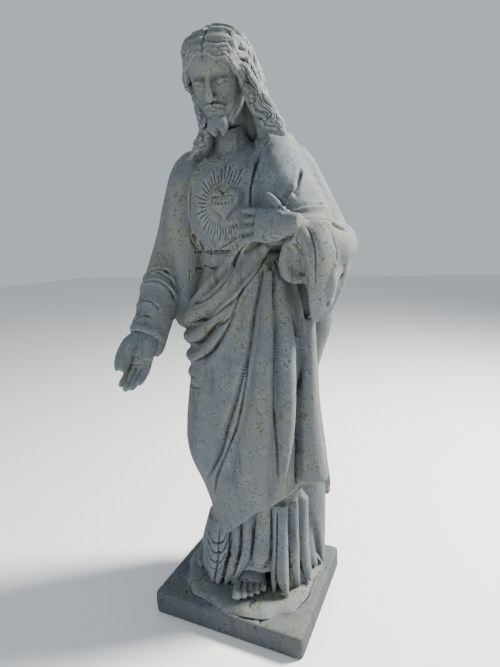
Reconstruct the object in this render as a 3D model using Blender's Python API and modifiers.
"""A robed standing figure with a heart emblem on the chest, cast in one piece with its slab plinth.

Run with: blender --background --python part.py
Metres, +Z up. The origin is the middle of the plinth's underside and the figure faces -Y.
The figure's places are drawn for a figure DRAWN_HEIGHT tall and scaled to FIGURE_HEIGHT.
"""

import math

import bmesh
import bpy
import numpy as np
from mathutils import Matrix, Vector
from mathutils.bvhtree import BVHTree

# Driving dimensions of the plinth and of the figure on it.
PLINTH_WIDTH = 0.504
PLINTH_DEPTH = 0.440
PLINTH_THICKNESS = 0.074
PLINTH_CORNER_RADIUS = 0.014
PLINTH_EDGE_RADIUS = 0.006
MOUND_RISE = 0.021
FIGURE_HEIGHT = 1.627

# How finely the carving is kept, as shares of the figure's height, and the faces left after thinning.
DRAWN_HEIGHT = 1.627
DRAWN_GROUND = 0.095
CLAY_GRAIN = 0.00264
FACE_BUDGET = 9200
SOFTENING = 1
CLOTH_SOFTENING = 9

SCALE = FIGURE_HEIGHT / DRAWN_HEIGHT
GROUND = PLINTH_THICKNESS + MOUND_RISE

COLLECTION = "sacred_heart_statue"


def placed(x, y, z):
    """A place on the figure, from where it is drawn to where it stands on this plinth."""
    return Vector((x * SCALE, y * SCALE, GROUND + (z - DRAWN_GROUND) * SCALE))


def smooth_row(values, count):
    """Values at even steps along a smooth curve through the given ones."""
    values = np.asarray(values, float)
    last = len(values) - 1
    padded = np.concatenate([[2 * values[0] - values[1]], values, [2 * values[-1] - values[-2]]])
    at = np.linspace(0, last, count)
    cell = np.minimum(at.astype(int), last - 1)
    t = (at - cell).reshape(-1, *([1] * (values.ndim - 1)))
    a, b, c, d = (padded[cell + k] for k in range(4))
    return 0.5 * (2 * b + (c - a) * t + (2 * a - 5 * b + 4 * c - d) * t**2 + (3 * b - a - 3 * c + d) * t**3)


def profile(keys, z):
    """The columns of a table of key heights, smoothly interpolated at the heights z."""
    keys = np.asarray(keys, float)
    z = np.asarray(z, float)
    cell = np.clip(np.searchsorted(keys[:, 0], z) - 1, 0, len(keys) - 2)
    slopes = np.gradient(keys[:, 1:], keys[:, 0], axis=0)
    span = (keys[cell + 1, 0] - keys[cell, 0])[..., None]
    t = np.clip((z - keys[cell, 0])[..., None] / span, 0, 1)
    low, high = keys[cell, 1:], keys[cell + 1, 1:]
    rise = slopes[cell] * span
    fall = slopes[cell + 1] * span
    return (
        (2 * t**3 - 3 * t**2 + 1) * low
        + (t**3 - 2 * t**2 + t) * rise
        + (3 * t**2 - 2 * t**3) * high
        + (t**3 - t**2) * fall
    )


class Clay:
    """Closed forms gathered as points and faces, to be fused into one solid."""

    def __init__(self):
        self.points = []
        self.faces = []

    def add(self, points, faces):
        start = len(self.points)
        self.points.extend(tuple(p) for p in points)
        self.faces.extend(tuple(start + i for i in face) for face in faces)

    def add_grid(self, rings):
        """A closed form through rings of points, each end closed on its middle."""
        rings = np.asarray(rings, float)
        count, around = rings.shape[:2]
        points = [tuple(p) for ring in rings for p in ring]
        faces = []
        for k in range(count - 1):
            for i in range(around):
                j = (i + 1) % around
                faces.append((k * around + i, k * around + j, (k + 1) * around + j, (k + 1) * around + i))
        for k, turn in ((0, True), (count - 1, False)):
            middle = len(points)
            points.append(tuple(rings[k].mean(axis=0)))
            for i in range(around):
                j = (i + 1) % around
                edge = (k * around + j, k * around + i) if turn else (k * around + i, k * around + j)
                faces.append((*edge, middle))
        self.add(points, faces)

    def tree(self):
        return BVHTree.FromPolygons(self.points, self.faces)


def robe(clay, keys, top, hem, around=96, steps=60, relief=None):
    """A form of changing cross-section. keys rows: height, left, right, front, back (signed places).

    hem is a height, or a function of the angle round the figure, 0 at the front and positive to +X.
    relief(angle, height) moves the surface outwards.
    """
    angle = np.linspace(-math.pi, math.pi, around, endpoint=False)
    low = hem(angle) if callable(hem) else np.full(around, float(hem))
    high = top(angle) if callable(top) else np.full(around, float(top))
    rings = []
    for share in np.linspace(0, 1, steps):
        z = low + (high - low) * share
        left, right, front, back = np.moveaxis(profile(keys, z), -1, 0)
        middle_x, middle_y = (left + right) / 2, (front + back) / 2
        out = relief(angle, z) if relief else 0
        half_x = np.abs(right - left) / 2 + out
        half_y = np.abs(back - front) / 2 + out
        x = middle_x + half_x * np.sin(angle)
        y = middle_y - half_y * np.cos(angle)
        rings.append([placed(*p) for p in zip(x, y, z)])
    clay.add_grid(rings)


def roll(clay, path, width, height, normals=None, steps=14, around=10, sink=0.0):
    """A fold or limb: an oval rope along a smooth path, width and height given at its points."""
    path = smooth_row(path, steps)
    width = smooth_row(np.broadcast_to(width, (len(width),)) if np.ndim(width) else [width] * 2, steps)
    height = smooth_row(np.broadcast_to(height, (len(height),)) if np.ndim(height) else [height] * 2, steps)
    along = np.gradient(path, axis=0)
    along /= np.linalg.norm(along, axis=1, keepdims=True)
    if normals is None:
        normals = np.tile((0.0, -1.0, 0.0), (len(path), 1))
    else:
        normals = smooth_row(normals, steps)
    side = np.cross(along, normals)
    side /= np.linalg.norm(side, axis=1, keepdims=True)
    normals = np.cross(side, along)
    turn = np.linspace(0, 2 * math.pi, around, endpoint=False)
    rings = []
    for k in range(steps):
        ring = (
            path[k]
            - normals[k] * sink
            + np.outer(np.cos(turn), side[k]) * width[k] / 2
            + np.outer(np.sin(turn), normals[k]) * height[k] / 2
        )
        rings.append([placed(*p) for p in ring])
    clay.add_grid(rings)


def turned(origin, along, back):
    """The place and turn of a local frame: +X runs along, +Z points the way of back."""
    x = Vector(along).normalized()
    y = Vector(back).cross(x).normalized()
    z = x.cross(y)
    return Matrix((
        (x.x, y.x, z.x, origin[0]),
        (x.y, y.y, z.y, origin[1]),
        (x.z, y.z, z.z, origin[2]),
        (0, 0, 0, 1),
    ))


TUNIC_SKIRT = (
    (0.085, -0.155, 0.205, -0.125, 0.165),
    (0.140, -0.140, 0.200, -0.120, 0.160),
    (0.220, -0.115, 0.195, -0.115, 0.150),
    (0.350, -0.105, 0.190, -0.110, 0.140),
    (0.550, -0.110, 0.185, -0.115, 0.130),
)
# The tunic's lower edge is lifted over the front foot.
TUNIC_HEM = ((-180, 0.085), (-24, 0.085), (-6, 0.150), (20, 0.160), (40, 0.150), (50, 0.085), (180, 0.085))
MANTLE_SKIRT = (
    (0.20, -0.120, 0.225, -0.140, 0.165),
    (0.30, -0.125, 0.220, -0.145, 0.160),
    (0.40, -0.130, 0.215, -0.150, 0.155),
    (0.50, -0.165, 0.205, -0.155, 0.150),
    (0.60, -0.185, 0.205, -0.155, 0.145),
    (0.70, -0.180, 0.205, -0.150, 0.140),
    (0.80, -0.172, 0.205, -0.145, 0.140),
    (0.90, -0.165, 0.205, -0.140, 0.135),
    (1.00, -0.145, 0.195, -0.130, 0.125),
    (1.08, -0.115, 0.185, -0.118, 0.115),
    (1.14, -0.100, 0.165, -0.105, 0.105),
)
MANTLE_HEM = (
    (-180, 0.340), (-120, 0.300), (-75, 0.262), (-50, 0.250), (-38, 0.252), (-21, 0.288), (1, 0.348),
    (17, 0.388), (36, 0.412), (60, 0.438), (80, 0.450), (100, 0.420), (140, 0.360), (180, 0.340),
)
BACK_HEM = (
    (-180, 0.310), (-120, 0.290), (-80, 0.300), (0, 0.400), (50, 0.440), (85, 0.430), (105, 0.370),
        (125, 0.330),
    (150, 0.310), (180, 0.310),
)
TORSO = (
    (1.04, -0.112, 0.165, -0.112, 0.105),
    (1.10, -0.098, 0.150, -0.104, 0.100),
    (1.15, -0.096, 0.148, -0.106, 0.100),
    (1.185, -0.110, 0.160, -0.126, 0.105),
    (1.24, -0.132, 0.175, -0.146, 0.110),
    (1.32, -0.150, 0.190, -0.142, 0.115),
    (1.38, -0.150, 0.190, -0.115, 0.110),
    (1.42, -0.115, 0.155, -0.085, 0.095),
    (1.45, -0.060, 0.095, -0.060, 0.070),
)
BACK_MANTLE = (
    (0.30, -0.150, 0.266, -0.020, 0.195),
    (0.45, -0.160, 0.250, -0.020, 0.185),
    (0.60, -0.170, 0.222, -0.020, 0.175),
    (0.76, -0.175, 0.216, -0.020, 0.167),
    (0.84, -0.172, 0.240, -0.020, 0.162),
    (0.93, -0.165, 0.268, -0.020, 0.156),
    (1.00, -0.160, 0.270, -0.022, 0.152),
    (1.10, -0.160, 0.266, -0.030, 0.150),
    (1.25, -0.185, 0.245, -0.050, 0.150),
    (1.35, -0.184, 0.212, -0.060, 0.140),
    (1.42, -0.148, 0.180, -0.040, 0.125),
    (1.48, -0.090, 0.132, -0.020, 0.095),
)
UNDER_LAYER = (
    (0.09, -0.080, 0.232, -0.004, 0.184),
    (0.25, -0.080, 0.236, -0.002, 0.182),
    (0.36, -0.090, 0.238, 0.000, 0.175),
    (0.46, -0.090, 0.240, 0.000, 0.170),
)
UNDER_HEM = ((-180, 0.330), (-60, 0.360), (0, 0.360), (45, 0.330), (66, 0.240), (84, 0.105), (110, 0.090),
             (128, 0.180),
             (150, 0.330), (180, 0.330))
LEFT_DRAPE = (
    (1.17, 0.130, 0.300, -0.160, 0.050),
    (1.22, 0.115, 0.305, -0.165, 0.055),
    (1.28, 0.105, 0.280, -0.158, 0.060),
    (1.35, 0.098, 0.245, -0.138, 0.065),
    (1.41, 0.085, 0.212, -0.100, 0.075),
    (1.475, 0.070, 0.165, -0.045, 0.070),
)
RIGHT_DRAPE = (
    (1.08, -0.235, -0.150, -0.075, 0.070),
    (1.15, -0.225, -0.112, -0.092, 0.070),
    (1.22, -0.215, -0.098, -0.108, 0.070),
    (1.30, -0.195, -0.088, -0.118, 0.070),
    (1.37, -0.182, -0.075, -0.105, 0.065),
    (1.43, -0.140, -0.050, -0.068, 0.062),
)


def hem_line(keys):
    lowest = min(z for _, z in keys)
    return lambda angle: np.maximum(profile(keys, np.degrees(angle))[..., 0], lowest)


THIGH = ((-0.045, -0.030, 0.900), (-0.060, -0.060, 0.760), (-0.068, -0.082, 0.640), (-0.068, -0.086, 0.560),
         (-0.055, -0.060, 0.450), (-0.045, -0.040, 0.330))


def body(clay):
    robe(clay, TUNIC_SKIRT, top=0.55, hem=hem_line(TUNIC_HEM))
    robe(clay, MANTLE_SKIRT, top=1.12, hem=hem_line(MANTLE_HEM))
    robe(clay, TORSO, top=1.45, hem=1.04)
    robe(clay, BACK_MANTLE, top=1.48, hem=hem_line(BACK_HEM))
    robe(clay, UNDER_LAYER, top=0.46, hem=hem_line(UNDER_HEM), steps=30)
    robe(clay, LEFT_DRAPE, top=1.475, hem=1.17, around=48, steps=24)
    robe(clay, RIGHT_DRAPE, top=1.43, hem=1.08, around=48, steps=24)
    roll(clay, THIGH, width=(0.160, 0.170, 0.170, 0.165, 0.140, 0.110),
         height=(0.180, 0.180, 0.175, 0.170, 0.150, 0.130), steps=20, around=24)


def on_surface(tree, path, steps):
    """A smooth path laid on the nearest surface, with the surface's own facing along it."""
    drawn = smooth_row(path, steps)
    places, facings = [], []
    for p in drawn:
        place, facing, _, _ = tree.find_nearest(placed(*p))
        places.append(place)
        facings.append(facing)
    facings = np.array(facings)
    for _ in range(2):
        facings[1:-1] = (facings[:-2] + facings[1:-1] * 2 + facings[2:]) / 4
    facings /= np.linalg.norm(facings, axis=1, keepdims=True)
    return np.array(places), facings


def fold(clay, tree, path, width, height, lift=0.0, steps=18, around=12):
    """A fold of cloth or a lock of hair: an oval rope lying on a surface, half sunk in it."""
    places, facings = on_surface(tree, path, steps)
    for _ in range(2):
        places[1:-1] = (places[:-2] + places[1:-1] * 2 + places[2:]) / 4
    width = smooth_row(width, steps) * SCALE
    height = smooth_row(height, steps) * SCALE
    along = np.gradient(places, axis=0)
    side = np.cross(along, facings)
    side /= np.linalg.norm(side, axis=1, keepdims=True)
    turn = np.linspace(0, 2 * math.pi, around, endpoint=False)
    rings = []
    for k in range(steps):
        rings.append(
            places[k]
            + facings[k] * lift * SCALE
            + np.outer(np.cos(turn), side[k]) * width[k] / 2
            + np.outer(np.sin(turn), facings[k]) * height[k] / 2
        )
    clay.add_grid(rings)


# Folds of the mantle drawn across from the right hip to the hand: path, widths and heights along it.
SWAGS = (
    (((-0.060, 0.120, 0.960), (-0.140, 0.040, 0.970), (-0.150, -0.050, 0.985), (-0.105, -0.085, 1.005),
      (-0.060, -0.100, 1.050), (0.000, -0.110, 1.105), (0.045, -0.108, 1.155), (0.085, -0.105, 1.195)),
     (0.020, 0.040, 0.042, 0.040, 0.036, 0.032, 0.030, 0.026),
         (0.020, 0.040, 0.055, 0.050, 0.042, 0.036, 0.032, 0.030)),
    (((-0.070, 0.115, 0.920), (-0.150, 0.050, 0.930), (-0.170, -0.040, 0.950), (-0.125, -0.085, 0.968),
      (-0.045, -0.118, 1.005), (0.030, -0.120, 1.070), (0.080, -0.100, 1.125), (0.140, -0.100, 1.170)),
     (0.020, 0.050, 0.062, 0.064, 0.058, 0.050, 0.042, 0.030),
         (0.020, 0.045, 0.066, 0.062, 0.050, 0.042, 0.036, 0.030)),
    (((-0.090, 0.110, 0.870), (-0.160, 0.040, 0.880), (-0.165, -0.055, 0.900), (-0.120, -0.095, 0.903),
      (-0.078, -0.114, 0.920), (-0.020, -0.130, 0.962), (0.030, -0.128, 1.017), (0.080, -0.115, 1.067),
      (0.130, -0.095, 1.130)),
     (0.020, 0.040, 0.050, 0.048, 0.042, 0.036, 0.032, 0.026, 0.018),
     (0.020, 0.040, 0.054, 0.048, 0.040, 0.034, 0.032, 0.026, 0.018)),
    (((-0.140, 0.060, 0.820), (-0.165, -0.040, 0.840), (-0.110, -0.105, 0.843), (-0.070, -0.122, 0.862),
      (-0.020, -0.135, 0.906), (0.018, -0.135, 0.953), (0.055, -0.128, 1.020), (0.095, -0.110, 1.080)),
     (0.020, 0.036, 0.038, 0.036, 0.032, 0.028, 0.024, 0.016),
         (0.020, 0.036, 0.040, 0.036, 0.032, 0.028, 0.024, 0.016)),
    (((-0.150, 0.020, 0.770), (-0.155, -0.060, 0.785), (-0.105, -0.110, 0.792), (-0.045, -0.135, 0.835),
      (0.010, -0.138, 0.893), (0.048, -0.130, 0.965), (0.085, -0.115, 1.040)),
     (0.020, 0.030, 0.032, 0.030, 0.026, 0.022, 0.014), (0.018, 0.022, 0.024, 0.024, 0.022, 0.020, 0.012)),
)
# Panels of the mantle that fall from under the hand.
FALLS = (
    (((0.136, -0.085, 1.100), (0.130, -0.100, 1.000), (0.122, -0.110, 0.880), (0.112, -0.120, 0.740),
      (0.094, -0.130, 0.620), (0.070, -0.140, 0.500), (0.055, -0.145, 0.420)),
     (0.020, 0.036, 0.048, 0.066, 0.090, 0.100, 0.110), (0.030, 0.044, 0.050, 0.046, 0.034, 0.016, 0.002)),
    (((0.142, -0.050, 1.130), (0.160, -0.075, 1.030), (0.174, -0.080, 0.900), (0.176, -0.086, 0.730),
      (0.172, -0.092, 0.610), (0.164, -0.100, 0.490)),
     (0.020, 0.040, 0.052, 0.054, 0.044, 0.014), (0.030, 0.050, 0.064, 0.064, 0.054, 0.020)),
    (((0.170, -0.030, 1.080), (0.192, -0.030, 0.980), (0.204, -0.030, 0.880), (0.206, -0.030, 0.800),
      (0.202, -0.040, 0.720)),
     (0.014, 0.020, 0.020, 0.018, 0.012), (0.030, 0.044, 0.046, 0.040, 0.020)),
)
SIDE_PANEL = ((0.224, -0.010, 0.960), (0.221, -0.015, 0.850), (0.218, -0.020, 0.720), (0.222, -0.025, 0.590),
              (0.236, -0.030, 0.462))
BACK_FOLDS = 6
# Folds of the tunic below the mantle, each ending in a tongue turned out over the ground: path and widths.
TONGUES = (
    (((-0.116, -0.020, 0.290), (-0.130, -0.034, 0.215), (-0.138, -0.044, 0.165), (-0.144, -0.050, 0.138)),
     (0.040, 0.050, 0.050, 0.030)),
    (((-0.092, -0.070, 0.290), (-0.102, -0.086, 0.215), (-0.106, -0.096, 0.150), (-0.112, -0.098, 0.100)),
     (0.050, 0.066, 0.060, 0.024)),
    (((-0.062, -0.092, 0.300), (-0.070, -0.108, 0.215), (-0.074, -0.122, 0.150), (-0.079, -0.130, 0.100)),
     (0.056, 0.070, 0.060, 0.020)),
    (((-0.030, -0.104, 0.310), (-0.036, -0.116, 0.220), (-0.048, -0.128, 0.150), (-0.060, -0.137, 0.100)),
     (0.034, 0.038, 0.034, 0.014)),
    (((0.008, -0.106, 0.330), (0.006, -0.116, 0.230), (-0.016, -0.124, 0.150), (-0.034, -0.128, 0.100)),
     (0.032, 0.036, 0.034, 0.012)),
    (((0.046, -0.104, 0.350), (0.040, -0.112, 0.230), (0.008, -0.118, 0.160), (-0.012, -0.122, 0.102)),
     (0.036, 0.040, 0.034, 0.012)),
    (((0.096, -0.094, 0.390), (0.092, -0.102, 0.280), (0.084, -0.108, 0.220), (0.076, -0.112, 0.184)),
     (0.050, 0.056, 0.054, 0.030)),
    (((0.128, -0.084, 0.390), (0.127, -0.096, 0.250), (0.124, -0.100, 0.160), (0.122, -0.102, 0.100)),
     (0.018, 0.020, 0.022, 0.012)),
    (((0.150, -0.074, 0.390), (0.150, -0.090, 0.250), (0.152, -0.100, 0.160), (0.170, -0.110, 0.098)),
     (0.030, 0.038, 0.040, 0.014)),
    (((0.174, -0.044, 0.390), (0.175, -0.058, 0.250), (0.176, -0.062, 0.160), (0.188, -0.050, 0.098)),
     (0.030, 0.036, 0.038, 0.012)),
    (((0.190, -0.004, 0.390), (0.190, -0.016, 0.250), (0.196, -0.020, 0.160), (0.212, -0.010, 0.098)),
     (0.036, 0.042, 0.042, 0.012)),
)
BACK_PIPES = 9


def tunic_folds(clay):
    for path, width in TONGUES:
        deep = [min(max(w * 1.1, 0.028), 0.050) for w in width[:-1]] + [width[-1]]
        middle = Vector((0.035, 0.010, 0.0))
        normals = [tuple((Vector((x, y, 0)) - middle).normalized()) for x, y, _ in path]
        roll(clay, path, width, deep, normals=normals, steps=18, around=12)
    # The same, plainer, round the back.
    for k in range(BACK_PIPES):
        turn = math.radians(78 + (262 - 78) * k / (BACK_PIPES - 1) + 5 * math.sin(2.2 * k))
        out = Vector((math.sin(turn), -math.cos(turn), 0))
        high = Vector((0.040 + 0.142 * out.x, 0.014 + 0.122 * out.y, 0.420))
        low = Vector((0.022 + 0.178 * out.x, 0.016 + 0.152 * out.y, 0.150))
        tip = low + out * 0.020 + Vector((0, 0, -0.050))
        thick = 0.034 + 0.008 * math.sin(1.7 * k)
        roll(clay, (high, high.lerp(low, 0.6), low, tip), (thick * 0.7, thick, thick * 1.2, thick * 0.5),
             (0.030, 0.036, 0.040, 0.016), normals=[tuple(out)] * 4, steps=14, around=12)


def drapery(clay):
    tree = clay.tree()
    for path, width, height in SWAGS:
        fold(clay, tree, path, width, height, steps=26)
    for path, width, height in FALLS:
        fold(clay, tree, path, width, height, steps=30)
    roll(clay, SIDE_PANEL, width=(0.030, 0.048, 0.064, 0.078, 0.088),
         height=(0.040, 0.056, 0.060, 0.060, 0.058),
         normals=[(0.30, -0.95, 0.0)] * 5, steps=20, around=20)
    tunic_folds(clay)
    # Broad plain folds down the back, spreading from the shoulders.
    for k in range(BACK_FOLDS):
        share = k / (BACK_FOLDS - 1)
        swing = math.sin(2.4 * k + 0.6)
        top_x = -0.115 + 0.245 * share
        low_x = -0.128 + 0.355 * share + 0.012 * swing
        path = [(top_x, 0.130, 1.360 - 0.05 * abs(swing)), (top_x, 0.140, 1.220),
                (top_x * 0.5 + low_x * 0.5 + 0.008 * swing, 0.155, 0.950), (low_x, 0.170, 0.640),
                    (low_x, 0.190, 0.325)]
        thick = 0.052 + 0.014 * swing
        fold(clay, tree, path, (0.010, thick * 0.7, thick, thick * 1.15, thick * 1.25),
             (0.002, 0.014, 0.032, 0.044, 0.046),
             steps=24)


BELT = ((1.112, -0.108, 0.158, -0.117, 0.100), (1.132, -0.109, 0.158, -0.119, 0.100),
        (1.152, -0.108, 0.158, -0.118, 0.100))
HEART_WIDTH = 0.096
HEART_CENTRE = (0.036, 1.284)
NECKLINE = ((-0.055, -0.064, 1.425), (-0.012, -0.099, 1.400), (0.032, -0.109, 1.389), (0.076, -0.095, 1.399),
            (0.097, -0.066, 1.426))


def before(tree, x, z, out):
    """The place in front of a surface at x and z, seen from the front, and out metres off it."""
    place = tree.ray_cast(placed(x, -1.0, z), Vector((0, 1, 0)))[0]
    if place is None:
        place = tree.find_nearest(placed(x, -0.1, z))[0]
    return place + Vector((0, -out * SCALE, 0))


def heart_outline(size, count=40):
    """The outline of a heart as wide as size, tip down, round its middle."""
    turn = np.linspace(0, 2 * math.pi, count, endpoint=False)
    x = 16 * np.sin(turn) ** 3
    z = 13 * np.cos(turn) - 5 * np.cos(2 * turn) - 2 * np.cos(3 * turn) - np.cos(4 * turn)
    return x * size / 32, z * size / 32


def emblem(clay):
    tree = clay.tree()
    middle_x, middle_z = HEART_CENTRE
    rings = []
    for out, grow in ((-0.010, 1.0), (0.005, 1.0), (0.010, 0.92), (0.013, 0.75), (0.015, 0.40)):
        x, z = heart_outline(HEART_WIDTH * grow)
        rings.append([before(tree, middle_x + a, middle_z + b, out) for a, b in zip(x, z)])
    clay.add_grid(rings)
    for lean, tall in ((-0.011, 0.020), (0.000, 0.032), (0.011, 0.020)):
        path = [(middle_x + lean * 0.3, -0.14, middle_z + 0.024), (middle_x + lean, -0.14, middle_z + 0.040),
                (middle_x + lean * 0.8, -0.14, middle_z + 0.036 + tall)]
        fold(clay, tree, path, (0.012, 0.013, 0.004), (0.012, 0.012, 0.004), steps=8)
    half = HEART_WIDTH * 0.47
    band = [(middle_x + half * k / 2, -0.15, middle_z + 0.006) for k in (-2, -1, 0, 1, 2)]
    fold(clay, tree, band, [0.011] * 5, (0.020, 0.030, 0.034, 0.030, 0.020), lift=0.002, steps=14)


def chest(clay):
    robe(clay, BELT, top=1.150, hem=1.114)
    tree = clay.tree()
    fold(clay, tree, NECKLINE, [0.010] * 5, [0.007] * 5, steps=20)
    for k in range(9):
        share = k / 8
        x = -0.094 + 0.159 * share
        path = ((x - 0.012 * (1 - share), -0.120, 1.225), (x, -0.125, 1.190), (x + 0.008, -0.110, 1.158))
        fold(clay, tree, path, (0.006, 0.016, 0.014), (0.004, 0.014, 0.014), steps=10)
    emblem(clay)


# Folds of the two sleeves and of the mantle over the shoulders.
SLEEVE_FOLDS = (
    (((-0.262, -0.110, 1.075), (-0.245, -0.132, 1.092), (-0.214, -0.128, 1.112), (-0.176, -0.098, 1.106)),
     0.020),
    (((-0.212, -0.132, 1.098), (-0.184, -0.115, 1.082), (-0.165, -0.080, 1.052)), 0.016),
    (((-0.268, -0.125, 1.045), (-0.244, -0.148, 1.066), (-0.213, -0.142, 1.078), (-0.184, -0.120, 1.056),
      (-0.170, -0.080, 1.008)), 0.024),
    (((-0.268, -0.145, 1.000), (-0.240, -0.172, 1.012), (-0.216, -0.168, 1.018), (-0.192, -0.150, 0.996)),
     0.020),
    (((-0.280, -0.160, 0.955), (-0.256, -0.185, 0.964), (-0.230, -0.186, 0.974), (-0.206, -0.172, 0.968)),
     0.018),
    (((0.204, -0.180, 1.262), (0.232, -0.145, 1.305), (0.240, -0.075, 1.350)), 0.026),
    (((0.214, -0.172, 1.246), (0.262, -0.130, 1.262), (0.305, -0.060, 1.262)), 0.022),
    (((0.228, -0.168, 1.232), (0.285, -0.120, 1.228), (0.338, -0.055, 1.212)), 0.026),
)
MANTLE_EDGES = (
    ((-0.050, -0.085, 1.425), (-0.080, -0.110, 1.370), (-0.098, -0.112, 1.290), (-0.104, -0.100, 1.210),
     (-0.106, -0.092, 1.180)),
    ((0.092, -0.050, 1.450), (0.104, -0.100, 1.405), (0.106, -0.128, 1.345), (0.106, -0.152, 1.285),
     (0.112, -0.160, 1.225)),
)
# Soft broad folds on the outside of the left sleeve, and the rolled edges of its mouth.
SLEEVE_LOBES = (
    ((0.300, -0.150, 1.205), (0.312, -0.138, 1.150), (0.310, -0.108, 1.080), (0.296, -0.080, 1.010)),
    ((0.330, -0.070, 1.205), (0.338, -0.036, 1.140), (0.326, -0.024, 1.080), (0.304, -0.030, 1.020)),
)
SLEEVE_MOUTH = (
    (((0.254, -0.192, 1.222), (0.268, -0.197, 1.185), (0.277, -0.193, 1.148), (0.281, -0.183, 1.114),
      (0.278, -0.165, 1.070),
      (0.269, -0.140, 1.024), (0.264, -0.112, 0.980), (0.266, -0.092, 0.966)),
          (0.012, 0.020, 0.022, 0.022, 0.020, 0.018)),
    (((0.266, -0.092, 0.968), (0.292, -0.064, 0.988), (0.316, -0.044, 1.040), (0.333, -0.022, 1.087),
      (0.342, 0.000, 1.126)),
     (0.018, 0.020, 0.018, 0.014, 0.008)),
    (((0.232, -0.170, 1.190), (0.212, -0.164, 1.150), (0.206, -0.158, 1.110), (0.216, -0.152, 1.086),
      (0.240, -0.146, 1.080),
      (0.266, -0.142, 1.082)), (0.030, 0.034, 0.034, 0.030, 0.024, 0.020)),
)


def sleeve_drapery(clay):
    tree = clay.tree()
    for path, thick in SLEEVE_FOLDS:
        count = len(path)
        swell = [0.6] + [1.0] * (count - 2) + [0.5]
        fold(clay, tree, path, [thick * k for k in swell], [thick * 0.9 * k for k in swell], steps=16)
    for path in MANTLE_EDGES:
        fold(clay, tree, path, [0.014] * 5, [0.014] * 5, steps=24)
    for path in SLEEVE_LOBES:
        fold(clay, tree, path, (0.016, 0.040, 0.044, 0.030), (0.004, 0.018, 0.020, 0.012), steps=16)
    for path, thick in SLEEVE_MOUTH:
        rope(clay, np.array([tuple(placed(*p)) for p in smooth_row(path, 30)]), thick)
    # The cloth between the far edge of the mouth and the forearm.
    roll(clay, ((0.240, -0.156, 1.200), (0.228, -0.150, 1.145), (0.232, -0.140, 1.096)),
         width=(0.060, 0.054, 0.036),
         height=(0.056, 0.044, 0.026), steps=12, around=14)


def arms(clay):
    # The right arm hangs, a little out from the side.
    roll(
        clay,
        ((-0.074, 0.010, 1.412), (-0.140, 0.010, 1.394), (-0.174, 0.005, 1.298), (-0.199, 0.000, 1.205),
         (-0.215, -0.030, 1.115), (-0.224, -0.090, 1.030), (-0.234, -0.158, 0.925)),
        width=(0.080, 0.128, 0.140, 0.142, 0.142, 0.122, 0.102),
        height=(0.080, 0.136, 0.152, 0.160, 0.165, 0.150, 0.102),
        steps=24, around=24,
    )
    # The mantle shows between the arm and the side, down to the hip.
    roll(clay, ((-0.128, -0.002, 1.320), (-0.138, -0.020, 1.230), (-0.146, -0.026, 1.150),
                (-0.154, -0.024, 1.070),
                (-0.166, -0.030, 0.990), (-0.171, -0.056, 0.945), (-0.172, -0.066, 0.928)),
         width=(0.070, 0.096, 0.110, 0.104, 0.080, 0.050, 0.020),
             height=(0.100, 0.140, 0.150, 0.140, 0.116, 0.080, 0.030),
         steps=22, around=18)
    # The lower side of the right cuff hangs beside the heel of the hand.
    roll(clay, ((-0.202, -0.124, 0.968), (-0.206, -0.144, 0.918), (-0.210, -0.158, 0.872),
                (-0.211, -0.163, 0.852)),
         width=(0.066, 0.056, 0.042, 0.014), height=(0.066, 0.056, 0.042, 0.014), steps=16, around=16)
    # The turned rim of the right cuff.
    wrist, along = Vector((-0.236, -0.166, 0.918)), Vector((-0.10, -0.56, -0.82)).normalized()
    side = along.cross(Vector((1, 0, 0))).normalized()
    other = side.cross(along)
    for k in range(2):
        rim = [wrist - along * 0.008 * k + (side * math.cos(t) + other * math.sin(t)) * (0.046 + 0.003 * k)
               for t in np.linspace(0, 2 * math.pi, 13)]
        rope(clay, np.array([tuple(placed(*p)) for p in smooth_row([tuple(p) for p in rim], 40)]),
             [0.014] * 5)
    # The left arm is bent, with the hand before the chest.
    roll(
        clay,
        ((0.090, 0.010, 1.418), (0.158, 0.008, 1.392), (0.196, 0.010, 1.318), (0.242, 0.010, 1.234),
         (0.284, -0.012, 1.170)),
        width=(0.060, 0.122, 0.140, 0.132, 0.120),
        height=(0.060, 0.130, 0.154, 0.160, 0.150),
        steps=20, around=24,
    )
    roll(
        clay,
        ((0.295, 0.000, 1.165), (0.290, -0.080, 1.163), (0.262, -0.150, 1.184), (0.231, -0.182, 1.203)),
        width=(0.130, 0.120, 0.095, 0.072),
        height=(0.130, 0.120, 0.095, 0.072),
        normals=((0, 0, 1), (0, 0, 1), (0, 0, 1), (0, 0, 1)),
        steps=20, around=24,
    )
    # The sleeve of the left arm hangs from the forearm.
    robe(
        clay,
        ((0.962, 0.256, 0.276, -0.096, -0.030), (0.985, 0.250, 0.292, -0.118, 0.010),
         (1.040, 0.242, 0.312, -0.152, 0.050), (1.110, 0.236, 0.330, -0.186, 0.070),
         (1.170, 0.232, 0.340, -0.196, 0.075), (1.225, 0.238, 0.328, -0.176, 0.070)),
        top=1.225, hem=0.962, around=48, steps=24,
    )


def palm(clay, frame):
    keys = smooth_row(
        ((-0.030, 0.026, 0.020, 0.000), (0.000, 0.029, 0.020, 0.000), (0.030, 0.038, 0.019, 0.002),
         (0.062, 0.042, 0.016, 0.002), (0.088, 0.040, 0.012, 0.000)), 14)
    turn = np.linspace(0, 2 * math.pi, 20, endpoint=False)
    rings = []
    for x, half_width, half_thick, shift in keys:
        ring = [(x, shift + half_width * math.cos(t), half_thick * math.sin(t)) for t in turn]
        rings.append([placed(*(frame @ Vector(p))) for p in ring])
    clay.add_grid(rings)


def digit(clay, frame, path, thick, size):
    thick = [t * size for t in thick]
    path = [tuple(frame @ Vector(p)) for p in path]
    back = tuple(frame.to_3x3() @ Vector((0, 0, 1)))
    roll(clay, path, width=thick, height=thick, normals=[back] * len(path), steps=16, around=10)


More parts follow.
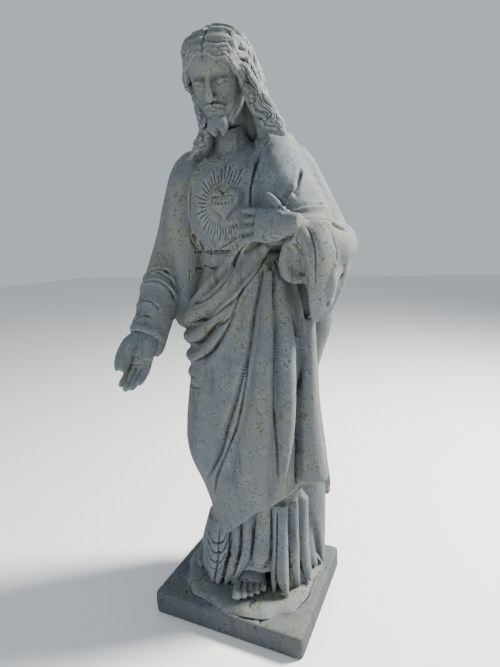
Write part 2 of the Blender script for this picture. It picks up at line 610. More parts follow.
def hand(clay, frame, thumb_side, spread, curl, thumb, size=1.0, plump=1.0, reach=(1.0, 1.0, 1.0, 1.0)):
    """A hand: +X along the fingers, +Z out of its back, the thumb on the thumb_side of Y."""
    frame = frame @ Matrix.Scale(size, 4)
    palm(clay, frame)
    for k, (across, length, thick) in enumerate(
        ((-0.031, 0.062, 0.0165), (-0.0105, 0.076, 0.0180), (0.0110, 0.082, 0.0185), (0.031, 0.074, 0.0185))
    ):
        thick *= plump
        length *= reach[k]
        lean = math.radians(spread[k])
        bend = math.radians(curl[k])
        path = [(0.070, across * thumb_side * 0.94, 0.0)]
        angle = 0.0
        x, z = 0.070, 0.0
        for share in (0.30, 0.42, 0.30, 0.20):
            x += length * share * math.cos(angle)
            z -= length * share * math.sin(angle)
            y = (across * 0.94 + (x - 0.070) * math.tan(lean)) * thumb_side
            path.append((x, y, z))
            angle += bend
        digit(clay, frame, path, (thick, thick * 1.02, thick, thick * 0.92, thick * 0.5), size)
    digit(clay, frame, [(x, y * thumb_side, z) for x, y, z in thumb],
          (0.026, 0.023, 0.0200, 0.0180, 0.009), size)


def hands(clay):
    wrist = (-0.242, -0.166, 0.920)
    along, back = (-0.06, -0.38, -0.92), (0.10, 0.90, -0.40)
    hand(
        clay, turned(wrist, along, back), 1,
        spread=(3, 1, -1, -3), curl=(14, 12, 12, 14),
        thumb=((0.006, 0.022, -0.008), (0.026, 0.038, -0.018), (0.056, 0.043, -0.028), (0.084, 0.041, -0.032),
               (0.104, 0.037, -0.034)), size=1.18, plump=1.16, reach=(0.84, 0.84, 0.84, 0.84),
    )
    # The balls of the thumb and of the little finger, round the hollow of the palm.
    open_palm = turned(wrist, along, back) @ Matrix.Scale(1.18, 4)
    digit(clay, open_palm, ((-0.006, 0.010, -0.002), (0.026, 0.022, -0.009), (0.058, 0.028, -0.016),
                            (0.102, 0.031, -0.024)),
          (0.036, 0.044, 0.040, 0.032), 1.18)
    digit(clay, open_palm, ((-0.010, -0.014, -0.002), (0.028, -0.027, -0.005), (0.066, -0.032, -0.006)),
          (0.034, 0.036, 0.026), 1.18)
    wrist = (0.229, -0.190, 1.217)
    hand(
        clay, turned(wrist, (-1.0, 0.16, 0.05), (-0.10, -1.0, 0.20)), -1,
        spread=(-9, -4, 1, 6), curl=(12, 9, 12, 8),
        thumb=((0.010, 0.022, -0.004), (0.026, 0.036, -0.004), (0.042, 0.050, -0.003), (0.058, 0.064, 0.0),
               (0.070, 0.074, 0.002)), size=1.05, reach=(1.04, 0.95, 0.74, 0.84),
    )


def head_frame():
    return (
        Matrix.Translation((0.017, -0.116, 1.613))
        @ Matrix.Rotation(math.radians(8), 4, "Z")
        @ Matrix.Rotation(math.radians(34), 4, "X")
    )


SKULL = (
    (-0.112, 0.012, -0.072, -0.045),
    (-0.104, 0.026, -0.084, -0.020),
    (-0.085, 0.040, -0.087, 0.010),
    (-0.060, 0.052, -0.086, 0.040),
    (-0.036, 0.061, -0.083, 0.070),
    (0.000, 0.067, -0.080, 0.085),
    (0.035, 0.071, -0.090, 0.092),
    (0.062, 0.064, -0.079, 0.084),
    (0.078, 0.046, -0.058, 0.062),
    (0.087, 0.022, -0.027, 0.032),
    (0.090, 0.006, -0.004, 0.009),
)


NOSE = ((0.000, -0.082, 0.016), (0.000, -0.094, -0.006), (0.000, -0.106, -0.028), (0.000, -0.104, -0.036))
# Soft swellings and hollows of the face, on both sides: across, up, wide, tall, out.
FACE_RELIEF = (
    (0.026, 0.021, 0.022, 0.008, 0.0040),
    (0.000, 0.052, 0.040, 0.022, 0.0030),
    (0.032, 0.005, 0.017, 0.011, -0.0075),
    (0.015, 0.007, 0.007, 0.012, -0.0060),
    (0.031, -0.001, 0.012, 0.008, 0.0078),
    (0.043, -0.022, 0.017, 0.014, 0.0040),
    (0.035, -0.050, 0.014, 0.018, -0.0030),
    (0.000, -0.058, 0.026, 0.018, 0.0050),
    (0.000, -0.056, 0.017, 0.0035, 0.0030),
    (0.000, -0.0665, 0.014, 0.0040, 0.0035),
    (0.000, -0.092, 0.018, 0.013, 0.0060),
)


def blob(clay, frame, centre, radii, around=16, rows=9):
    """An egg shape in a local frame."""
    rings = []
    turn = np.linspace(0, 2 * math.pi, around, endpoint=False)
    for lift in np.linspace(-0.96, 0.96, rows):
        wide = math.sqrt(1 - lift * lift)
        ring = [
            (centre[0] + radii[0] * wide * math.cos(t), centre[1] + radii[1] * wide * math.sin(t),
             centre[2] + radii[2] * lift)
            for t in turn
        ]
        rings.append([placed(*(frame @ Vector(p))) for p in ring])
    clay.add_grid(rings)


def strand(clay, frame, path, thick, steps=12):
    """A rope drawn in a local frame."""
    path = [tuple(frame @ Vector(p)) for p in path]
    roll(clay, path, width=thick, height=thick, steps=steps, around=10)


def face(clay):
    frame = head_frame()
    strand(clay, frame, NOSE, (0.011, 0.015, 0.021, 0.012))
    for side in (-1, 1):
        blob(clay, frame, (0.0100 * side, -0.0945, -0.0325), (0.0070, 0.0095, 0.0065))
        # Upper lid, brow, jaw's beard, moustache and one of the two points of the beard.
        strand(clay, frame, ((0.016 * side, -0.074, -0.001), (0.031 * side, -0.0785, 0.0035),
                             (0.046 * side, -0.066, -0.002)),
               (0.005, 0.0075, 0.005))
        strand(clay, frame, ((0.010 * side, -0.0835, 0.0215), (0.029 * side, -0.0825, 0.0265),
                             (0.052 * side, -0.062, 0.016)),
               (0.006, 0.0075, 0.005))
        strand(clay, frame, ((0.063 * side, -0.012, -0.015), (0.056 * side, -0.040, -0.066),
                             (0.026 * side, -0.072, -0.100)),
               (0.016, 0.024, 0.030))
        strand(clay, frame, ((0.002 * side, -0.0950, -0.0465), (0.017 * side, -0.0915, -0.0515),
                             (0.032 * side, -0.078, -0.063)),
               (0.007, 0.009, 0.005))
        strand(clay, frame, ((0.012 * side, -0.082, -0.086), (0.015 * side, -0.091, -0.108),
                             (0.009 * side, -0.089, -0.128)),
               (0.028, 0.026, 0.009))
    blob(clay, frame, (0.000, -0.076, -0.098), (0.030, 0.022, 0.022))


def head(clay):
    frame = head_frame()
    angle = np.linspace(-math.pi, math.pi, 144, endpoint=False)
    rings = []
    for z, half_width, front, back in smooth_row(SKULL, 110):
        middle, half = (front + back) / 2, (back - front) / 2
        square = 0.85
        x = half_width * np.sign(np.sin(angle)) * np.abs(np.sin(angle)) ** square
        y = middle - half * np.sign(np.cos(angle)) * np.abs(np.cos(angle)) ** square
        for across, up, wide, tall, out in FACE_RELIEF:
            bump = np.exp(-(((np.abs(x) - across) / wide) ** 2) - ((z - up) / tall) ** 2)
            y -= bump * out * (np.cos(angle) > 0)
        rings.append([placed(*(frame @ Vector((a, b, z)))) for a, b in zip(x, y)])
    clay.add_grid(rings)
    roll(
        clay,
        ((0.020, 0.030, 1.400), (0.018, -0.010, 1.480), (0.012, -0.070, 1.560)),
        width=(0.125, 0.108, 0.105), height=(0.125, 0.110, 0.110), steps=12, around=24,
    )
    # The throat runs down into the chest.
    roll(clay, ((0.022, -0.036, 1.330), (0.020, -0.034, 1.390), (0.018, -0.040, 1.440),
                (0.016, -0.062, 1.490)),
         width=(0.150, 0.150, 0.110, 0.080), height=(0.130, 0.124, 0.100, 0.080), steps=14, around=24)


HAIR_BULK = (
    (1.350, 0.010, 0.060, 0.120, 0.140),
    (1.380, -0.045, 0.110, 0.045, 0.140),
    (1.43, -0.052, 0.120, -0.010, 0.118),
    (1.48, -0.050, 0.116, -0.045, 0.078),
    (1.54, -0.048, 0.104, -0.070, 0.030),
    (1.60, -0.048, 0.098, -0.090, 0.000),
    (1.66, -0.040, 0.086, -0.110, -0.030),
)
# The hair over the head, in the head's own frame: height, half width, front, back.
HAIR_CAP = (
    (-0.030, 0.074, -0.006, 0.092),
    (0.000, 0.080, -0.018, 0.097),
    (0.030, 0.082, -0.038, 0.099),
    (0.048, 0.081, -0.056, 0.096),
    (0.060, 0.078, -0.077, 0.092),
    (0.070, 0.072, -0.080, 0.085),
    (0.082, 0.059, -0.066, 0.070),
    (0.093, 0.037, -0.036, 0.043),
    (0.099, 0.012, -0.008, 0.014),
)
# Places the locks pass on the head, from the foremost lock to the back one: parting, brow, temple and ear.
LOCK_STATIONS = (
    ((0.002, -0.083, 0.067), (0.002, -0.074, 0.081), (0.002, -0.050, 0.092), (0.002, -0.014, 0.100),
     (0.002, 0.026, 0.096)),
    ((0.034, -0.083, 0.061), (0.043, -0.070, 0.069), (0.048, -0.047, 0.077), (0.051, -0.012, 0.083),
     (0.052, 0.022, 0.080)),
    ((0.066, -0.062, 0.030), (0.074, -0.044, 0.034), (0.078, -0.022, 0.040), (0.080, 0.006, 0.042),
     (0.081, 0.030, 0.042)),
    ((0.076, -0.042, -0.012), (0.081, -0.026, -0.006), (0.083, -0.004, 0.000), (0.085, 0.016, 0.000),
     (0.086, 0.038, 0.000)),
)
# The hair that falls at each side of the face: the middle of each fall, and its thickness.
HAIR_FALLS = {
    -1: (((-0.050, -0.146, 1.604), (-0.036, -0.138, 1.562), (-0.029, -0.128, 1.525), (-0.023, -0.118, 1.483),
          (-0.037, -0.112, 1.453), (-0.060, -0.107, 1.430), (-0.098, -0.098, 1.410)),
         (0.012, 0.014, 0.018, 0.024, 0.024, 0.020, 0.008)),
    1: (((0.108, -0.136, 1.600), (0.118, -0.122, 1.550), (0.138, -0.104, 1.507), (0.151, -0.094, 1.482),
         (0.160, -0.086, 1.465), (0.180, -0.077, 1.447)),
        (0.024, 0.034, 0.038, 0.040, 0.036, 0.014)),
}
LOCKS_A_SIDE = 5
BACK_LOCKS = 9


def lock_paths():
    """The lines of the locks, from the parting over the head and down, with each line's thickness."""
    frame = head_frame()
    lines = []
    for side, (spine, thick) in HAIR_FALLS.items():
        bulk = 0.82 if side < 0 else 1.0
        for k in range(LOCKS_A_SIDE):
            share = k / (LOCKS_A_SIDE - 1)
            start = [frame @ Vector((row[k][0] * side, row[k][1], row[k][2])) for row in LOCK_STATIONS]
            # Round the fall of hair from its inner front to its back.
            turn = math.radians(-80 + 220 * share)
            falls = []
            for p, size in zip(spine[1:], thick[1:]):
                falls.append(Vector(p) + Vector((math.sin(turn) * side, -math.cos(turn), 0)) * size * 0.5)
            path = smooth_row([tuple(p) for p in start + falls], 48)
            run = np.linspace(0, 1, 48)
            swell = np.interp(run, (0, 0.15, 0.5, 0.9, 1), (0.0, 0.005, 0.007, 0.009, 0.002))
            wave = np.sin(run * 11 * math.pi + k * 1.1 + side) * swell
            path[:, 0] += wave * math.cos(turn)
            path[:, 1] += wave * math.sin(turn) * side
            path[:, 2] += wave * (run < 0.3)
            row = (0.012, 0.016, 0.018, 0.020, 0.026, 0.022, 0.030, 0.022, 0.030, 0.020, 0.010)
            lines.append((path, [t * bulk for t in row]))
    # Broad locks that fill in behind the falls.
    for side, lean in ((-1, -0.044), (1, 0.104)):
        for k in range(2):
            back = 0.026 * k
            path = smooth_row((
                (lean * 0.9, -0.080 + back, 1.640),
                (lean - 0.002 * side, -0.080 + back, 1.580),
                (lean + 0.004 * side, -0.062 + back, 1.520),
                (lean + 0.014 * side, -0.040 + back, 1.460),
                (lean + 0.018 * side, -0.020 + back, 1.400)), 40)
            run = np.linspace(0, 1, 40)
            path[:, 1] += np.sin(run * 7 * math.pi + k + side) * 0.008 * run
            lines.append((path, (0.024, 0.042, 0.046, 0.044, 0.030)))
    for k in range(BACK_LOCKS):
        turn = math.radians(-100 + 200 * k / (BACK_LOCKS - 1))
        out_x, out_y = math.sin(turn), math.cos(turn)
        low = 1.365 + 0.016 * math.sin(3 * k)
        path = smooth_row((
            (0.020 + 0.018 * out_x, -0.078 + 0.018 * out_y, 1.728),
            (0.022 + 0.074 * out_x, -0.064 + 0.050 * out_y, 1.668),
            (0.027 + 0.078 * out_x, -0.032 + 0.046 * out_y, 1.580),
            (0.032 + 0.086 * out_x, 0.014 + 0.076 * out_y, 1.470),
            (0.032 + 0.096 * out_x, 0.034 + 0.106 * out_y, low)), 40)
        run = np.linspace(0, 1, 40)
        wave = np.sin(run * 6 * math.pi + k * 0.8) * 0.009 * run
        path[:, 0] += wave * out_y
        path[:, 1] -= wave * out_x
        lines.append((path, (0.012, 0.022, 0.030, 0.030, 0.012)))
    return lines


def hair(clay):
    robe(clay, HAIR_BULK, top=1.66, hem=1.350, around=48, steps=30)
    frame = head_frame()
    angle = np.linspace(-math.pi, math.pi, 96, endpoint=False)
    rings = []
    for up, half_width, front, back in smooth_row(HAIR_CAP, 60):
        middle, half = (front + back) / 2, (back - front) / 2
        ring = [(half_width * math.sin(a), middle - half * math.cos(a), up) for a in angle]
        rings.append([placed(*(frame @ Vector(p))) for p in ring])
    clay.add_grid(rings)
    for path, thick in HAIR_FALLS.values():
        thick = [t * 0.8 for t in thick]
        roll(clay, path, width=thick, height=thick, steps=24, around=16)
    tree = clay.tree()
    for path, thick in lock_paths():
        laid = []
        for k, p in enumerate(path):
            hold = min(1.0, max(0.0, 1.5 - k / 12))
            near = Vector(tree.find_nearest(placed(*p))[0])
            laid.append(tuple(placed(*p).lerp(near, hold)))
        rope(clay, np.array(laid), thick)


def rope(clay, places, thick, around=10):
    """A round rope through places already on the figure."""
    count = len(places)
    radius = smooth_row(thick, count) * SCALE / 2
    along = np.gradient(places, axis=0)
    along /= np.linalg.norm(along, axis=1, keepdims=True)
    side = np.cross(along, (0.31, -0.27, 0.91))
    side /= np.linalg.norm(side, axis=1, keepdims=True)
    other = np.cross(side, along)
    turn = np.linspace(0, 2 * math.pi, around, endpoint=False)
    clay.add_grid([
        places[k] + (np.outer(np.cos(turn), side[k]) + np.outer(np.sin(turn), other[k])) * radius[k]
        for k in range(count)
    ])


FOOT_SIZE = 1.12
FEET = (((0.010, 0.010, 0.154), 17), ((-0.068, 0.090, 0.148), -36))


def feet(clay):
    turn = np.linspace(0, 2 * math.pi, 20, endpoint=False)
    for ankle, heading in FEET:
        heading = math.radians(heading)
        foot = turned(ankle, (math.sin(heading), -math.cos(heading), 0),
                      (0, 0, 1)) @ Matrix.Scale(FOOT_SIZE, 4)
        rings = []
        for x, half_width, half_high, middle in smooth_row(
            ((-0.02, 0.034, 0.060, 0.010), (0.04, 0.036, 0.044, -0.008), (0.085, 0.041, 0.028, -0.024),
             (0.125, 0.045, 0.018, -0.036)), 12):
            rings.append([placed(*(foot @ Vector((x, half_width * math.cos(t),
                                                  middle + half_high * math.sin(t))))) for t in turn])
        clay.add_grid(rings)
        # The big toe is on the inner side of each foot.
        inner = -1 if heading > 0 else 1
        for across, reach, thick in (
            (0.033, 0.176, 0.025), (0.012, 0.172, 0.017), (-0.006, 0.164, 0.016), (-0.023, 0.154, 0.015),
            (-0.039, 0.142, 0.014)
        ):
            thick *= FOOT_SIZE
            y = across * inner
            path = [(0.106, y, -0.034), (0.135, y, -0.030), (reach - 0.006, y, -0.034), (reach, y, -0.036)]
            path = [tuple(foot @ Vector(p)) for p in path]
            roll(clay, path, (thick, thick, thick, thick * 0.8), (thick, thick, thick, thick * 0.7),
                 normals=[(0, 0, 1)] * 4, steps=10, around=10)


MOUND_REACH = (0.222, 0.200)


def mound(clay):
    """A low bank of rock with a broken edge, squarer than an oval."""
    angle = np.linspace(-math.pi, math.pi, 90, endpoint=False)
    ragged = 1 + 0.030 * np.sin(3 * angle + 1) + 0.022 * np.sin(7 * angle) + 0.014 * np.sin(13 * angle + 2)
    rings = []
    for z, grow in ((0.060, 1.010), (0.078, 1.000), (0.086, 0.970), (0.092, 0.930), (0.097, 0.800)):
        x = 0.008 + MOUND_REACH[0] * grow * ragged * np.sign(np.sin(angle)) * np.abs(np.sin(angle)) ** 0.75
        y = -0.005 - MOUND_REACH[1] * grow * ragged * np.sign(np.cos(angle)) * np.abs(np.cos(angle)) ** 0.75
        rings.append([placed(a, b, z) for a, b in zip(x, y)])
    clay.add_grid(rings)


def slab():
    mesh = bpy.data.meshes.new("plinth slab")
    form = bmesh.new()
    bmesh.ops.create_cube(form, size=1.0)
    bmesh.ops.scale(form, vec=(PLINTH_WIDTH, PLINTH_DEPTH, PLINTH_THICKNESS), verts=form.verts)
    bmesh.ops.translate(form, vec=(0, 0, PLINTH_THICKNESS / 2), verts=form.verts)
    upright = [e for e in form.edges if abs(e.verts[0].co.z - e.verts[1].co.z) > PLINTH_THICKNESS / 2]
    bmesh.ops.bevel(form, geom=upright, offset=PLINTH_CORNER_RADIUS, segments=5, profile=0.5, affect="EDGES")
    rim = [e for e in form.edges if min(v.co.z for v in e.verts) > PLINTH_THICKNESS * 0.99]
    bmesh.ops.bevel(form, geom=rim, offset=PLINTH_EDGE_RADIUS, segments=2, profile=0.5, affect="EDGES")
    form.to_mesh(mesh)
    form.free()
    return bpy.data.objects.new("plinth slab", mesh)


# Balls inside which the cloth's softening hardly works: centre and radius.
CRISP = (
    ((0.020, -0.070, 1.590), 0.170),
    ((-0.270, -0.230, 0.850), 0.105),
    ((0.140, -0.190, 1.215), 0.100),
    ((0.030, -0.120, 0.130), 0.110),
    ((-0.150, -0.020, 0.130), 0.090),
    ((0.036, -0.140, 1.284), 0.060),
)
CRISP_SHARE = 0.06


class Surface:
    """The points of a fused mesh, pushed in and out along their own facings to carve it."""

    def __init__(self, mesh):
        count = len(mesh.vertices)
        self.mesh = mesh
        self.tree = None
        self.points = np.empty((count, 3), np.float32)
        self.facings = np.empty((count, 3), np.float32)
        mesh.vertices.foreach_get("co", self.points.ravel())
        mesh.vertices.foreach_get("normal", self.facings.ravel())

    def stroke(self, path, width, depth, shape, taper=0.25):
        """Works one stroke along a path. depth is positive outwards; shape gives a share of it across."""
        drawn = np.asarray(path, float)
        length = np.linalg.norm(np.diff(drawn, axis=0), axis=1).sum()
        width = np.atleast_1d(np.asarray(width, float))
        steps = int(np.clip(length / (width.max() * 0.15), 8, 110))
        places, facings = on_surface(self.tree, drawn, steps)
        wide = smooth_row(width if len(width) > 1 else np.repeat(width, 2), steps) * SCALE / 2
        along = np.gradient(places, axis=0)
        along /= np.linalg.norm(along, axis=1, keepdims=True) + 1e-12
        side = np.cross(along, facings)
        side /= np.linalg.norm(side, axis=1, keepdims=True) + 1e-12
        share = np.linspace(0, 1, steps)
        strength = np.clip(np.minimum(share, 1 - share) / max(taper, 1e-6), 0, 1) ** 0.7
        reach = wide.max() * 1.3
        near, closest = self.nearest(places, reach)
        offset = self.points[near] - places[closest]
        across = (offset * side[closest]).sum(axis=1)
        lift = (offset * facings[closest]).sum(axis=1)
        beyond = (offset * along[closest]).sum(axis=1)
        spread = np.sign(across) * np.hypot(across, np.abs(beyond) * 0.8) / wide[closest]
        amount = shape(spread) * strength[closest] * depth * SCALE
        amount *= (np.abs(lift) < wide[closest] * 1.2 + 0.012) & (np.abs(spread) < 1)
        amount *= (self.facings[near] * facings[closest]).sum(axis=1) > 0.0
        self.points[near] += self.facings[near] * amount[:, None]

    def nearest(self, places, reach, run=8):
        """The points within reach of a line of places, and the place nearest to each."""
        inside = np.all((self.points > places.min(0) - reach) & (self.points < places.max(0) + reach), axis=1)
        near = np.flatnonzero(inside)
        spots = self.points[near]
        best = np.full(len(near), reach**2)
        which = np.full(len(near), -1)
        for first in range(0, len(places), run):
            piece = places[first : first + run + 1]
            inside = np.all((spots > piece.min(0) - reach) & (spots < piece.max(0) + reach), axis=1)
            inside = np.flatnonzero(inside)
            if len(inside):
                gap = ((spots[inside][:, None] - piece[None]) ** 2).sum(axis=2)
                closest = gap.argmin(axis=1)
                gap = gap[np.arange(len(inside)), closest]
                better = gap < best[inside]
                best[inside[better]] = gap[better]
                which[inside[better]] = first + closest[better]
        found = which >= 0
        return near[found], which[found]

    def groove(self, path, width, depth, taper=0.25):
        self.stroke(path, width, -depth, lambda s: np.clip(1 - np.abs(s), 0, 1) ** 1.4, taper)

    def edge(self, path, width, height, taper=0.1):
        """A cloth edge lying over what is on its right, seen along the path."""
        def lip(s):
            return np.where(s < 0, np.clip(1 + s, 0, 1) ** 2, -0.45 * np.clip(1 - s, 0, 1) ** 2)
        self.stroke(path, width, height, lip, taper)

    def soften(self, rounds):
        """Blends the folds into one cloth. The head, hands, feet and emblem keep their edges."""
        count = len(self.points)
        links = np.empty((len(self.mesh.edges), 2), np.int32)
        self.mesh.edges.foreach_get("vertices", links.ravel())
        a, b = links.T
        valence = (np.bincount(a, minlength=count) + np.bincount(b, minlength=count))[:, None]
        freedom = np.ones(count)
        for centre, radius in CRISP:
            away = np.linalg.norm(self.points - np.array(placed(*centre)), axis=1) / (radius * SCALE)
            freedom = np.minimum(freedom, np.clip((away - 1) / 0.2, CRISP_SHARE, 1))
        freedom = 0.6 * freedom[:, None]
        for _ in range(rounds):
            total = np.empty((count, 3), np.float32)
            for axis in range(3):
                line = self.points[:, axis]
                total[:, axis] = np.bincount(a, line[b], count) + np.bincount(b, line[a], count)
            self.points += (total / valence - self.points) * freedom
        self.renew_facings()

    def renew_facings(self):
        """Takes the facings afresh, and the surface that strokes are laid on."""
        self.give_back()
        self.mesh.vertices.foreach_get("normal", self.facings.ravel())
        self.tree = BVHTree.FromPolygons(self.points.tolist(),
                                         [tuple(face.vertices) for face in self.mesh.polygons])

    def give_back(self):
        self.mesh.vertices.foreach_set("co", self.points.ravel())
        self.mesh.update()


def figure_clay():
    clay = Clay()
    body(clay)
    drapery(clay)
    arms(clay)
    sleeve_drapery(clay)
    chest(clay)
    hands(clay)
    head(clay)
    face(clay)
    hair(clay)
    feet(clay)
    mound(clay)
    return clay


# Valleys of the mantle and the sleeves: path, widths and depth.
VALLEYS = (
    # Between the bands drawn from the right hip to the hand.
    (((-0.095, -0.095, 0.995), (-0.055, -0.131, 1.023), (-0.001, -0.138, 1.058), (0.027, -0.127, 1.094),
      (0.052, -0.117, 1.142), (0.090, -0.130, 1.170)), (0.014, 0.026, 0.026, 0.022, 0.018, 0.012), 0.012),
    (((-0.140, -0.092, 0.944), (-0.078, -0.117, 0.957), (-0.025, -0.139, 0.978), (0.017, -0.144, 1.003),
      (0.052, -0.137, 1.029), (0.098, -0.114, 1.089), (0.130, -0.069, 1.150)),
     (0.014, 0.016, 0.018, 0.018, 0.018, 0.018, 0.014), 0.009),
    (((-0.145, -0.090, 0.890), (-0.080, -0.120, 0.893), (-0.018, -0.138, 0.944), (0.034, -0.144, 0.976),
      (0.056, -0.136, 1.025), (0.079, -0.125, 1.069)), (0.014, 0.018, 0.018, 0.018, 0.016, 0.012), 0.009),
    (((-0.111, -0.119, 0.832), (-0.042, -0.139, 0.864), (0.004, -0.147, 0.912), (0.033, -0.144, 0.959),
      (0.055, -0.137, 1.001)), (0.014, 0.016, 0.016, 0.016, 0.012), 0.007),
    # The two long ones beside the bent leg.
    (((0.122, -0.096, 1.111), (0.104, -0.102, 1.030), (0.092, -0.113, 0.956), (0.081, -0.127, 0.873),
      (0.053, -0.147, 0.770), (0.035, -0.138, 0.717), (0.012, -0.143, 0.652), (-0.009, -0.146, 0.580),
      (-0.039, -0.150, 0.515), (-0.074, -0.143, 0.468)), (0.010, 0.020, 0.026, 0.028, 0.026, 0.030, 0.034,
          0.034, 0.028, 0.016),
     0.013),
    (((0.078, -0.127, 0.873), (0.079, -0.150, 0.820), (0.072, -0.162, 0.774), (0.060, -0.162, 0.720),
      (0.042, -0.167, 0.653),
      (0.011, -0.166, 0.584), (-0.034, -0.144, 0.485), (-0.058, -0.142, 0.415)),
     (0.010, 0.014, 0.016, 0.018, 0.018, 0.018, 0.018, 0.014), 0.009),
    # The upright line, the valley at its right and the one beside the side panel.
    (((0.134, -0.070, 1.138), (0.143, -0.102, 1.022), (0.145, -0.105, 0.898), (0.146, -0.114, 0.737),
      (0.143, -0.108, 0.681), (0.148, -0.107, 0.579), (0.151, -0.111, 0.472)),
          (0.012, 0.014, 0.014, 0.014, 0.014, 0.014, 0.012),
     0.009),
    (((0.139, -0.061, 1.129), (0.165, -0.075, 1.070), (0.186, -0.062, 0.989), (0.195, -0.045, 0.905)),
     (0.016, 0.026, 0.026, 0.016), 0.012),
    (((0.204, -0.036, 0.820), (0.196, -0.054, 0.727), (0.193, -0.056, 0.660), (0.189, -0.051, 0.578),
      (0.190, -0.057, 0.509),
      (0.191, -0.065, 0.459)), (0.014, 0.022, 0.024, 0.026, 0.028, 0.026), 0.013),
    # Over the left shoulder, spreading from behind the hand.
    (((0.200, -0.180, 1.253), (0.216, -0.150, 1.283), (0.232, -0.125, 1.316), (0.229, -0.085, 1.361)),
     (0.020, 0.026, 0.022, 0.010), 0.010),
    (((0.208, -0.182, 1.247), (0.240, -0.150, 1.258), (0.272, -0.115, 1.266), (0.285, -0.075, 1.270)),
     (0.018, 0.024, 0.020, 0.010), 0.009),
    (((0.213, -0.184, 1.238), (0.262, -0.165, 1.223), (0.304, -0.131, 1.214), (0.343, -0.056, 1.192)),
     (0.016, 0.024, 0.022, 0.012), 0.010),
    # Inside the mouth of the left sleeve, and under its lower edge.
    (((0.242, -0.185, 1.205), (0.250, -0.180, 1.150), (0.254, -0.168, 1.112), (0.250, -0.150, 1.088)),
     (0.012, 0.020, 0.022, 0.014), 0.012),
    (((0.282, -0.095, 1.010), (0.308, -0.074, 1.050), (0.332, -0.044, 1.088)), (0.016, 0.024, 0.014), 0.008),
    # Between the folds of the tunic.
    (((0.024, -0.112, 0.320), (0.026, -0.115, 0.255), (0.017, -0.120, 0.190), (-0.004, -0.124, 0.140)),
     (0.010, 0.015, 0.014, 0.008), 0.009),
    (((0.072, -0.110, 0.350), (0.064, -0.111, 0.281), (0.050, -0.116, 0.202)), (0.010, 0.014, 0.010), 0.008),
    (((0.118, -0.096, 0.385), (0.117, -0.098, 0.290), (0.113, -0.102, 0.200)), (0.010, 0.013, 0.012), 0.008),
    (((0.138, -0.092, 0.385), (0.137, -0.098, 0.300), (0.136, -0.104, 0.180), (0.140, -0.104, 0.120)),
     (0.008, 0.012, 0.012, 0.008), 0.008),
    (((0.164, -0.077, 0.390), (0.166, -0.080, 0.300), (0.168, -0.086, 0.190), (0.180, -0.080, 0.120)),
     (0.010, 0.016, 0.016, 0.010), 0.010),
    (((0.184, -0.044, 0.390), (0.186, -0.046, 0.280), (0.188, -0.044, 0.180), (0.198, -0.036, 0.120)),
     (0.010, 0.016, 0.016, 0.010), 0.010),
    (((-0.014, -0.110, 0.310), (-0.018, -0.120, 0.220), (-0.034, -0.130, 0.150), (-0.046, -0.134, 0.112)),
     (0.010, 0.014, 0.014, 0.008), 0.009),
    (((-0.050, -0.104, 0.290), (-0.056, -0.116, 0.210), (-0.064, -0.130, 0.150), (-0.070, -0.134, 0.112)),
     (0.008, 0.010, 0.010, 0.008), 0.006),
    # Across the right sleeve.
    (((-0.242, -0.139, 1.093), (-0.223, -0.137, 1.108), (-0.193, -0.127, 1.111), (-0.171, -0.114, 1.097)),
     (0.010, 0.016, 0.016, 0.010), 0.007),
    (((-0.209, -0.136, 1.106), (-0.182, -0.129, 1.094), (-0.165, -0.119, 1.078), (-0.161, -0.108, 1.050)),
     (0.010, 0.014, 0.014, 0.010), 0.007),
    (((-0.239, -0.157, 1.073), (-0.218, -0.155, 1.081), (-0.188, -0.147, 1.076), (-0.166, -0.129, 1.048),
      (-0.164, -0.104, 1.009)), (0.010, 0.016, 0.018, 0.016, 0.010), 0.008),
    (((-0.233, -0.179, 1.022), (-0.214, -0.176, 1.025), (-0.197, -0.171, 1.015), (-0.188, -0.160, 0.992)),
     (0.010, 0.014, 0.014, 0.010), 0.006),
    (((-0.264, -0.190, 0.957), (-0.240, -0.197, 0.977), (-0.219, -0.189, 0.982), (-0.201, -0.183, 0.975)),
     (0.010, 0.014, 0.014, 0.010), 0.006),
)


# Edges of cloth and of the belt, where one layer lies over the next: path, width and depth.
EDGES = (
    (((-0.120, -0.040, 1.157), (-0.080, -0.090, 1.156), (-0.036, -0.104, 1.156), (0.040, -0.115, 1.158)),
     0.010, 0.005),
    (((-0.124, -0.030, 1.108), (-0.080, -0.088, 1.108), (-0.040, -0.100, 1.108), (0.000, -0.115, 1.112)),
     0.012, 0.006),
    (((-0.034, -0.115, 1.424), (-0.064, -0.110, 1.400), (-0.084, -0.104, 1.366), (-0.087, -0.117, 1.317),
      (-0.096, -0.111, 1.257), (-0.103, -0.097, 1.203), (-0.112, -0.060, 1.160)), 0.012, 0.007),
    (((0.135, -0.090, 1.454), (0.118, -0.090, 1.415), (0.110, -0.107, 1.366), (0.104, -0.125, 1.320),
      (0.098, -0.133, 1.271)),
     0.012, 0.008),
)


# The parting of the hair, in the head's own frame.
PARTING = ((0.000, -0.092, 0.056), (0.000, -0.084, 0.076), (0.000, -0.056, 0.092), (0.000, -0.016, 0.101),
           (0.000, 0.024, 0.098))


def carve_folds(surface):
    for path, width, depth in VALLEYS + EDGES:
        surface.groove(path, width, depth, taper=0.12)
    frame = head_frame()
    surface.groove([tuple(frame @ Vector(p)) for p in PARTING], 0.012, 0.005)


def clear_scene():
    for obj in list(bpy.data.objects):
        bpy.data.objects.remove(obj, do_unlink=True)


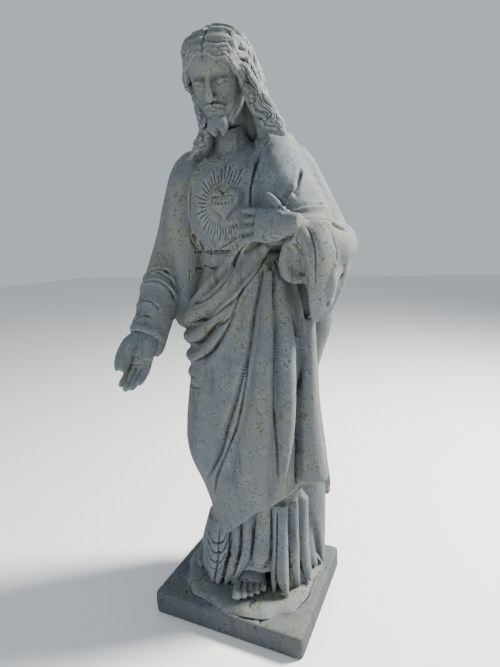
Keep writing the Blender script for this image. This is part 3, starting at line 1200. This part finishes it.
def fused(name, clay, grain):
    """The clay as one solid, with the steps of the fusing softened."""
    mesh = bpy.data.meshes.new(name)
    mesh.from_pydata(clay.points, [], clay.faces)
    mesh.update()
    obj = bpy.data.objects.new(name, mesh)
    bpy.context.scene.collection.objects.link(obj)
    remesh = obj.modifiers.new("fuse the clay", "REMESH")
    remesh.mode = "VOXEL"
    remesh.voxel_size = grain
    soften = obj.modifiers.new("soften the steps", "SMOOTH")
    soften.factor = 0.5
    soften.iterations = SOFTENING
    whole = bpy.data.meshes.new_from_object(obj.evaluated_get(bpy.context.evaluated_depsgraph_get()))
    obj.modifiers.clear()
    obj.data = whole
    bpy.context.scene.collection.objects.unlink(obj)
    return obj


def thinned(obj, budget):
    """Fewer faces, kept where the form turns most."""
    triangles = sum(len(face.vertices) - 2 for face in obj.data.polygons)
    thin = obj.modifiers.new("keep fewer faces", "DECIMATE")
    thin.ratio = budget / triangles


def cast_together(figure, base):
    """The figure and its slab as one solid."""
    join = figure.modifiers.new("cast with the slab", "BOOLEAN")
    join.operation = "UNION"
    join.solver = "EXACT"
    join.object = base
    bpy.context.view_layer.update()
    whole = bpy.data.meshes.new_from_object(figure.evaluated_get(bpy.context.evaluated_depsgraph_get()))
    whole.name = figure.name
    figure.modifiers.clear()
    figure.data = whole
    bpy.data.objects.remove(base)


def weathered_concrete():
    material = bpy.data.materials.new("weathered concrete")
    material.use_nodes = True
    shader = material.node_tree.nodes["Principled BSDF"]
    shader.inputs["Base Color"].default_value = (0.42, 0.42, 0.39, 1.0)
    shader.inputs["Roughness"].default_value = 0.92
    return material


def main():
    clear_scene()
    collection = bpy.data.collections.new(COLLECTION)
    bpy.context.scene.collection.children.link(collection)
    clay = figure_clay()
    figure = fused(COLLECTION, clay, CLAY_GRAIN * FIGURE_HEIGHT)
    surface = Surface(figure.data)
    surface.soften(CLOTH_SOFTENING)
    carve_folds(surface)
    surface.give_back()
    thinned(figure, FACE_BUDGET)
    base = slab()
    for obj in (figure, base):
        collection.objects.link(obj)
    cast_together(figure, base)
    figure.data.materials.clear()
    figure.data.materials.append(weathered_concrete())


main()
